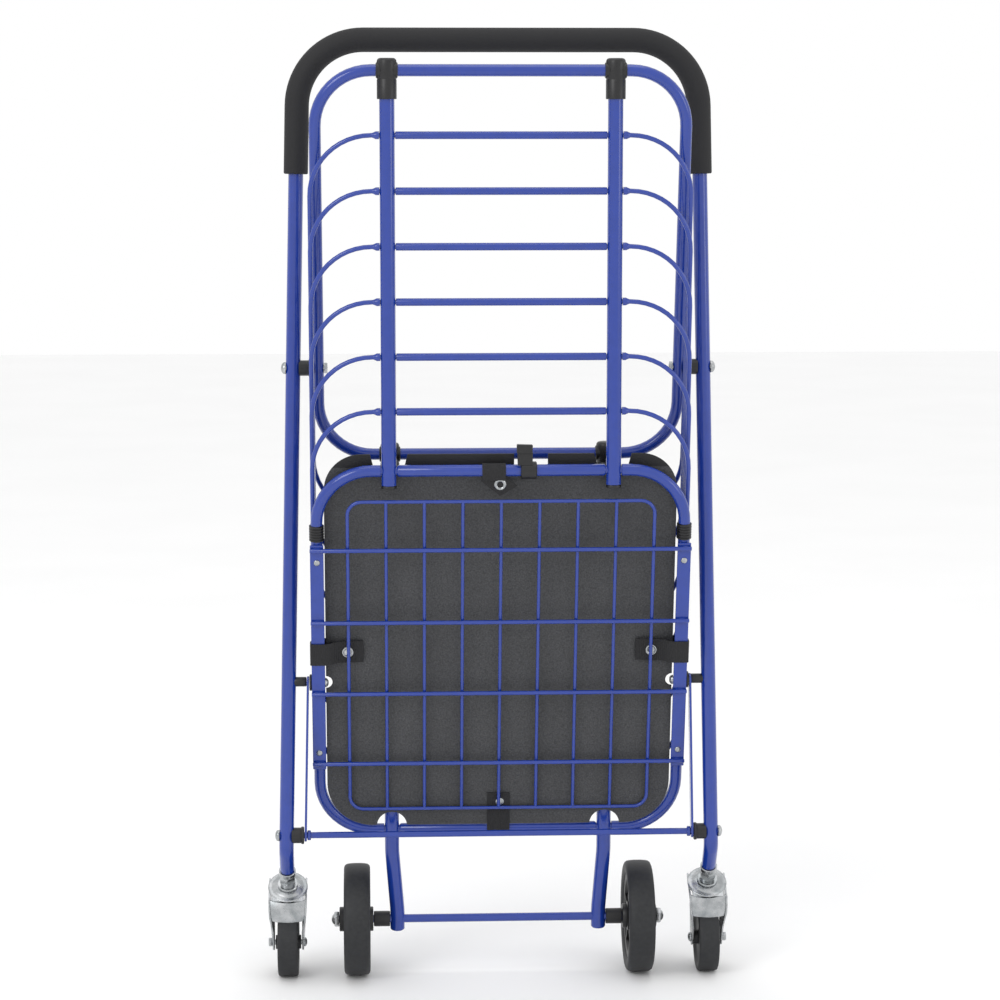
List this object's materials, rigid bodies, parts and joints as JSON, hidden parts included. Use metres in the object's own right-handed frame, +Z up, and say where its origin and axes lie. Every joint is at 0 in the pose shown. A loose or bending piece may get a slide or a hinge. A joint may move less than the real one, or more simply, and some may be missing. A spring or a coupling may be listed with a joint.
{
  "type": "folding utility cart",
  "caption": "Folding wire-basket utility cart, folded flat and standing, with a tall looped handle, large rear wheels and swivel casters",
  "frame": {"origin": "centre of the bounding box on the floor", "axes": "+Z up along the folded height, X across the cart, the front of the folded cart toward -Y"},
  "size_m": [0.514, 0.1601, 1.044],
  "materials": {
    "paint": "gloss",
    "zinc": "satin",
    "plastic": "satin",
    "foam": "matt",
    "tyre": "matt",
    "board": "matt",
    "webbing": "matt"
  },
  "bodies": {
    "rear_frame": {"rear_upright_left": "paint", "rear_upright_right": "paint", "rear_cap_left": "plastic", "rear_cap_right": "plastic", "rear_axle": "paint", "wheel_spacer_left": "plastic", "wheel_spacer_right": "plastic", "axle_nut_left": "zinc", "axle_nut_right": "zinc"},
    "rear_wheel_left": {"rear_tyre_left": "tyre", "rear_hub_left": "plastic"},
    "rear_wheel_right": {"rear_tyre_right": "tyre", "rear_hub_right": "plastic"},
    "rim": {"rim_loop": "paint"},
    "front_panel": {"front_upright_left": "paint", "front_upright_right": "paint", "front_cap_left": "plastic", "front_cap_right": "plastic"},
    "ring_1_body": {"ring_1": "paint"},
    "ring_2_body": {"ring_2": "paint"},
    "ring_3_body": {"ring_3": "paint"},
    "ring_4_body": {"ring_4": "paint"},
    "ring_5_body": {"ring_5": "paint"},
    "ring_6_body": {"ring_6": "paint"},
    "floor": {"floor_loop": "paint", "side_bar_left": "paint", "side_bar_right": "paint", "floor_grid": "paint", "liner_board": "board", "strap_front": "webbing", "strap_rear": "webbing", "strap_left": "webbing", "strap_right": "webbing", "ribbed_sleeve_left": "plastic", "ribbed_sleeve_right": "plastic", "link_pivot_left": "plastic", "link_pivot_right": "plastic"},
    "clip": {"fold_clip": "plastic"},
    "handle_frame": {"handle_tube": "paint", "foam_grip": "foam", "rim_spacer_left": "plastic", "rim_spacer_right": "plastic", "rim_bolt_left": "zinc", "rim_bolt_right": "zinc", "lower_spacer_left": "plastic", "lower_spacer_right": "plastic", "cross_rod": "paint", "bumper_left": "plastic", "bumper_right": "plastic", "caster_stem_left": "zinc", "caster_stem_right": "zinc"},
    "link_body_left": {"link_left": "paint"},
    "caster_left": {"caster_fork_left": "zinc", "caster_axle_left": "zinc"},
    "caster_roller_left": {"caster_wheel_left": "tyre"},
    "link_body_right": {"link_right": "paint"},
    "caster_right": {"caster_fork_right": "zinc", "caster_axle_right": "zinc"},
    "caster_roller_right": {"caster_wheel_right": "tyre"}
  },
  "joints": [
    {"name": "fold", "type": "hinge", "parent": "rear_frame", "child": "rim", "pos_m": [0, 0.018, 0.585], "axis": [1, 0, 0], "range_deg": [0, 81.36]},
    {"name": "ring_1_fold", "type": "hinge", "parent": "rear_frame", "child": "ring_1_body", "pos_m": [0, 0.018, 0.518], "axis": [1, 0, 0], "range_deg": [0, 81.36]},
    {"name": "ring_2_fold", "type": "hinge", "parent": "rear_frame", "child": "ring_2_body", "pos_m": [0, 0.018, 0.46], "axis": [1, 0, 0], "range_deg": [0, 81.36]},
    {"name": "ring_3_fold", "type": "hinge", "parent": "rear_frame", "child": "ring_3_body", "pos_m": [0, 0.018, 0.402], "axis": [1, 0, 0], "range_deg": [0, 81.36]},
    {"name": "ring_4_fold", "type": "hinge", "parent": "rear_frame", "child": "ring_4_body", "pos_m": [0, 0.018, 0.344], "axis": [1, 0, 0], "range_deg": [0, 81.36]},
    {"name": "ring_5_fold", "type": "hinge", "parent": "rear_frame", "child": "ring_5_body", "pos_m": [0, 0.018, 0.286], "axis": [1, 0, 0], "range_deg": [0, 81.36]},
    {"name": "ring_6_fold", "type": "hinge", "parent": "rear_frame", "child": "ring_6_body", "pos_m": [0, 0.018, 0.228], "axis": [1, 0, 0], "range_deg": [0, 81.36]},
    {"name": "floor_fold", "type": "hinge", "parent": "rear_frame", "child": "floor", "pos_m": [0, 0.018, 0.165], "axis": [1, 0, 0], "range_deg": [0, 81.36]},
    {"name": "front_panel_fold", "type": "hinge", "parent": "rim", "child": "front_panel", "pos_m": [0, -0.06974, 0.99778], "axis": [1, 0, 0], "range_deg": [-81.37, 0]},
    {"name": "handle_fold", "type": "hinge", "parent": "rim", "child": "handle_frame", "pos_m": [0, -0.0025, 0.68144], "axis": [1, 0, 0], "range_deg": [-108.39, 0]},
    {"name": "link_fold_left", "type": "hinge", "parent": "handle_frame", "child": "link_body_left", "pos_m": [-0.2126, -0.0199, 0.1687], "axis": [1, 0, 0], "range_deg": [-54.55, 0]},
    {"name": "rear_wheel_spin_left", "type": "hinge", "parent": "rear_frame", "child": "rear_wheel_left", "pos_m": [-0.1572, 0.018, 0.062], "axis": [1, 0, 0], "continuous": true},
    {"name": "caster_swivel_left", "type": "hinge", "parent": "handle_frame", "child": "caster_left", "pos_m": [-0.234, 0.0127, 0.10283], "axis": [0, -0.5592, 0.829], "range_deg": [-220, 40]},
    {"name": "caster_spin_left", "type": "hinge", "parent": "caster_left", "child": "caster_roller_left", "pos_m": [-0.234, 0.01491, 0.0375], "axis": [1, 0, 0], "continuous": true},
    {"name": "link_fold_right", "type": "hinge", "parent": "handle_frame", "child": "link_body_right", "pos_m": [0.2126, -0.0199, 0.1687], "axis": [1, 0, 0], "range_deg": [-54.55, 0]},
    {"name": "rear_wheel_spin_right", "type": "hinge", "parent": "rear_frame", "child": "rear_wheel_right", "pos_m": [0.1572, 0.018, 0.062], "axis": [1, 0, 0], "continuous": true},
    {"name": "caster_swivel_right", "type": "hinge", "parent": "handle_frame", "child": "caster_right", "pos_m": [0.234, 0.0127, 0.10283], "axis": [0, -0.5592, 0.829], "range_deg": [-40, 220]},
    {"name": "caster_spin_right", "type": "hinge", "parent": "caster_right", "child": "caster_roller_right", "pos_m": [0.234, 0.01491, 0.0375], "axis": [1, 0, 0], "continuous": true},
    {"name": "clip_turn", "type": "hinge", "parent": "floor", "child": "clip", "pos_m": [0.027, -0.06974, 0.57778], "axis": [1, 0, 0], "range_deg": [0, 90]}
  ],
  "couplings": [
    {"joint": "ring_1_fold", "follows": "fold", "ratio": 1},
    {"joint": "ring_2_fold", "follows": "fold", "ratio": 1},
    {"joint": "ring_3_fold", "follows": "fold", "ratio": 1},
    {"joint": "ring_4_fold", "follows": "fold", "ratio": 1},
    {"joint": "ring_5_fold", "follows": "fold", "ratio": 1},
    {"joint": "ring_6_fold", "follows": "fold", "ratio": 1},
    {"joint": "floor_fold", "follows": "fold", "ratio": 1},
    {"joint": "front_panel_fold", "follows": "fold", "ratio": -1},
    {"joint": "handle_fold", "follows": "fold", "ratio": -1.3319},
    {"joint": "link_fold_left", "follows": "fold", "ratio": -0.67023},
    {"joint": "link_fold_right", "follows": "fold", "ratio": -0.67023}
  ]
}
